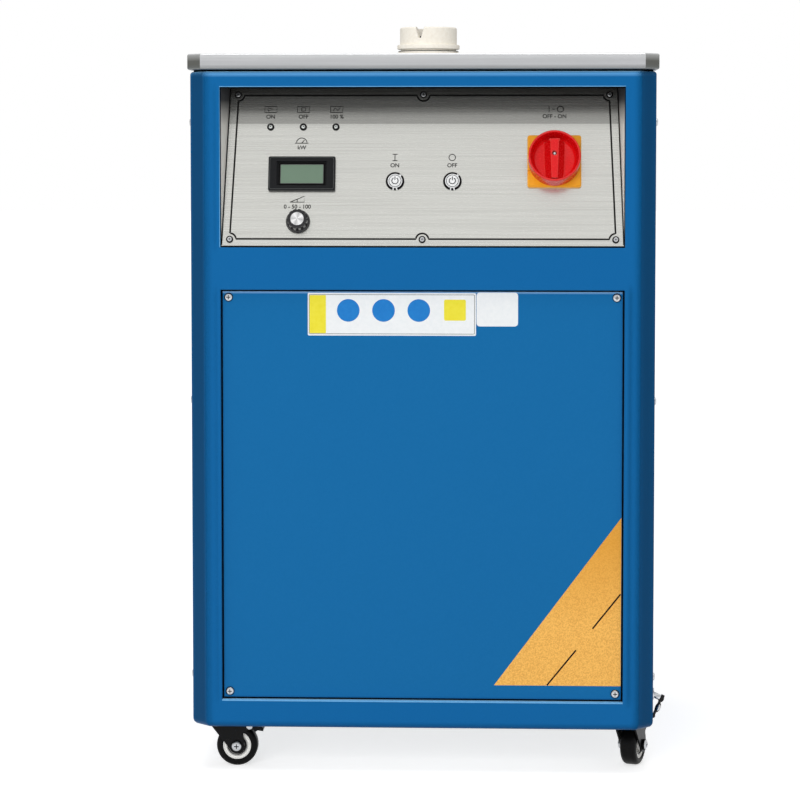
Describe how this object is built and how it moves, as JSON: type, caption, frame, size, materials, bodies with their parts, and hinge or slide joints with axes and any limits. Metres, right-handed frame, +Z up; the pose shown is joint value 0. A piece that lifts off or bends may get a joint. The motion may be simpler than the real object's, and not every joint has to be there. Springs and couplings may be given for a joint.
{
  "type": "induction melting furnace",
  "caption": "Floor-standing induction melting furnace: cabinet on braked casters, sloping control panel, ceramic furnace mouth on top.",
  "frame": {"origin": "on the floor, under the middle of the outer box", "axes": "+X to the right seen from the front, +Y to the rear, +Z up; the control panel faces -Y"},
  "size_m": [0.5728, 0.5126, 0.902],
  "materials": {
    "blue_paint": "semi-gloss powder coat",
    "galvanised": "matt zinc plate",
    "stainless_top": "satin",
    "stainless_panel": "brushed across",
    "black_rubber": "matt",
    "bright_screw": "polished",
    "meter_plastic": "fine grain",
    "display": "clear face",
    "lens_plastic": "clear",
    "button_steel": "polished",
    "pot_metal": "plain",
    "knob_plastic": "gloss",
    "spun_aluminium": "spun",
    "yellow_plastic": "satin",
    "red_plastic": "satin",
    "black_plastic": "matt",
    "ceramic_white": "fired, matt",
    "graphite": "matt",
    "laminate_board": "matt",
    "copper": "drawn",
    "core_steel": "varnished",
    "capacitor_case": "satin",
    "cast_aluminium": "milled",
    "circuit_board": "solder mask",
    "blue_hose": "matt",
    "plated_brass": "polished",
    "caster_zinc": "zinc plate",
    "caster_black": "black coat",
    "tyre_rubber": "matt",
    "hub_plastic": "satin"
  },
  "bodies": {
    "cabinet": {"front_frame": "blue_paint", "chassis": "galvanised", "left_side_panel": "blue_paint", "right_side_panel": "blue_paint", "rear_panel": "blue_paint", "top_plate": "stainless_top", "top_gasket": "black_rubber", "control_bay": "stainless_panel", "control_panel": "stainless_panel", "control_panel_screws": "bright_screw", "access_panel": "blue_paint", "cover_screws": "bright_screw", "meter_housing": "meter_plastic", "meter_display": "display", "lamp_bezels": "plated_brass", "lamp_lenses": "lens_plastic", "button_barrels": "button_steel", "potentiometer": "pot_metal", "switch_plate": "yellow_plastic", "switch_body": "black_plastic", "mouth_collar": "ceramic_white", "ceramic_sleeve": "ceramic_white", "coil_shelf": "laminate_board", "induction_coil": "copper", "transformer": "core_steel", "capacitor_bank": "capacitor_case", "inverter": "cast_aluminium", "control_board": "circuit_board", "cooling_hoses": "blue_hose", "fan_frame": "black_plastic", "water_fittings": "plated_brass", "cable_gland": "black_plastic", "caster_plates": "caster_zinc"},
    "start_button": {"start_button": "button_steel"},
    "stop_button": {"stop_button": "button_steel"},
    "regulator": {"regulator_knob": "knob_plastic", "knob_cap": "spun_aluminium", "regulator_shaft": "button_steel"},
    "main_switch": {"switch_handle": "red_plastic"},
    "crucible": {"graphite_crucible": "graphite"},
    "rotor": {"fan_rotor": "black_plastic"},
    "drain_lever": {"drain_lever": "black_plastic"},
    "front_left_swivel": {"front_left_fork": "caster_black", "front_left_axle": "bright_screw"},
    "front_left_wheel": {"front_left_tyre": "tyre_rubber", "front_left_hub": "hub_plastic"},
    "front_left_pedal": {"front_left_brake": "caster_black"},
    "front_right_swivel": {"front_right_fork": "caster_black", "front_right_axle": "bright_screw"},
    "front_right_wheel": {"front_right_tyre": "tyre_rubber", "front_right_hub": "hub_plastic"},
    "front_right_pedal": {"front_right_brake": "caster_black"},
    "rear_left_swivel": {"rear_left_fork": "caster_black", "rear_left_axle": "bright_screw"},
    "rear_left_wheel": {"rear_left_tyre": "tyre_rubber", "rear_left_hub": "hub_plastic"},
    "rear_right_swivel": {"rear_right_fork": "caster_black", "rear_right_axle": "bright_screw"},
    "rear_right_wheel": {"rear_right_tyre": "tyre_rubber", "rear_right_hub": "hub_plastic"}
  },
  "joints": [
    {"name": "start_press", "type": "slide", "parent": "cabinet", "child": "start_button", "axis": [0, 0.9636, -0.2672], "range_m": [0, 0.0025], "stiffness_N_per_m": 300, "springref_m": -0.002},
    {"name": "stop_press", "type": "slide", "parent": "cabinet", "child": "stop_button", "axis": [0, 0.9636, -0.2672], "range_m": [0, 0.0025], "stiffness_N_per_m": 300, "springref_m": -0.002},
    {"name": "regulator_turn", "type": "hinge", "parent": "cabinet", "child": "regulator", "pos_m": [-0.15436, -0.23791, 0.66223], "axis": [0, -0.9636, 0.2672], "range_deg": [-150, 150]},
    {"name": "main_switch_turn", "type": "hinge", "parent": "cabinet", "child": "main_switch", "pos_m": [0.15024, -0.21821, 0.73325], "axis": [0, -0.9636, 0.2672], "range_deg": [-90, 0]},
    {"name": "crucible_lift", "type": "slide", "parent": "cabinet", "child": "crucible", "axis": [0, 0, 1], "range_m": [0, 0.14]},
    {"name": "fan_spin", "type": "hinge", "parent": "cabinet", "child": "rotor", "pos_m": [0.11364, 0.20626, 0.632], "axis": [0, 1, 0], "continuous": true},
    {"name": "drain_lever_turn", "type": "hinge", "parent": "cabinet", "child": "drain_lever", "pos_m": [0.28069, -0.20074, 0.08603], "axis": [0.9135, 0, -0.4067], "range_deg": [0, 90]},
    {"name": "front_left_swivel_turn", "type": "hinge", "parent": "cabinet", "child": "front_left_swivel", "pos_m": [-0.25436, -0.20174, 0.0568], "axis": [0, 0, 1], "continuous": true},
    {"name": "front_left_wheel_roll", "type": "hinge", "parent": "front_left_swivel", "child": "front_left_wheel", "pos_m": [-0.23236, -0.20174, 0.025], "axis": [0, 1, 0], "continuous": true},
    {"name": "front_left_brake_press", "type": "hinge", "parent": "front_left_swivel", "child": "front_left_pedal", "pos_m": [-0.21686, -0.20174, 0.0492], "axis": [0, 1, 0], "range_deg": [0, 15]},
    {"name": "front_right_swivel_turn", "type": "hinge", "parent": "cabinet", "child": "front_right_swivel", "pos_m": [0.24164, -0.20174, 0.0568], "axis": [0, 0, 1], "continuous": true},
    {"name": "front_right_wheel_roll", "type": "hinge", "parent": "front_right_swivel", "child": "front_right_wheel", "pos_m": [0.24917, -0.18106, 0.025], "axis": [-0.9397, 0.342, 0], "continuous": true},
    {"name": "front_right_brake_press", "type": "hinge", "parent": "front_right_swivel", "child": "front_right_pedal", "pos_m": [0.25447, -0.1665, 0.0492], "axis": [-0.9397, 0.342, 0], "range_deg": [0, 15]},
    {"name": "rear_left_swivel_turn", "type": "hinge", "parent": "cabinet", "child": "rear_left_swivel", "pos_m": [-0.25436, 0.18026, 0.0568], "axis": [0, 0, 1], "continuous": true},
    {"name": "rear_left_wheel_roll", "type": "hinge", "parent": "rear_left_swivel", "child": "rear_left_wheel", "pos_m": [-0.25818, 0.20193, 0.025], "axis": [-0.9848, -0.1736, 0], "continuous": true},
    {"name": "rear_right_swivel_turn", "type": "hinge", "parent": "cabinet", "child": "rear_right_swivel", "pos_m": [0.24164, 0.18026, 0.0568], "axis": [0, 0, 1], "continuous": true},
    {"name": "rear_right_wheel_roll", "type": "hinge", "parent": "rear_right_swivel", "child": "rear_right_wheel", "pos_m": [0.24546, 0.20193, 0.025], "axis": [-0.9848, 0.1736, 0], "continuous": true}
  ]
}
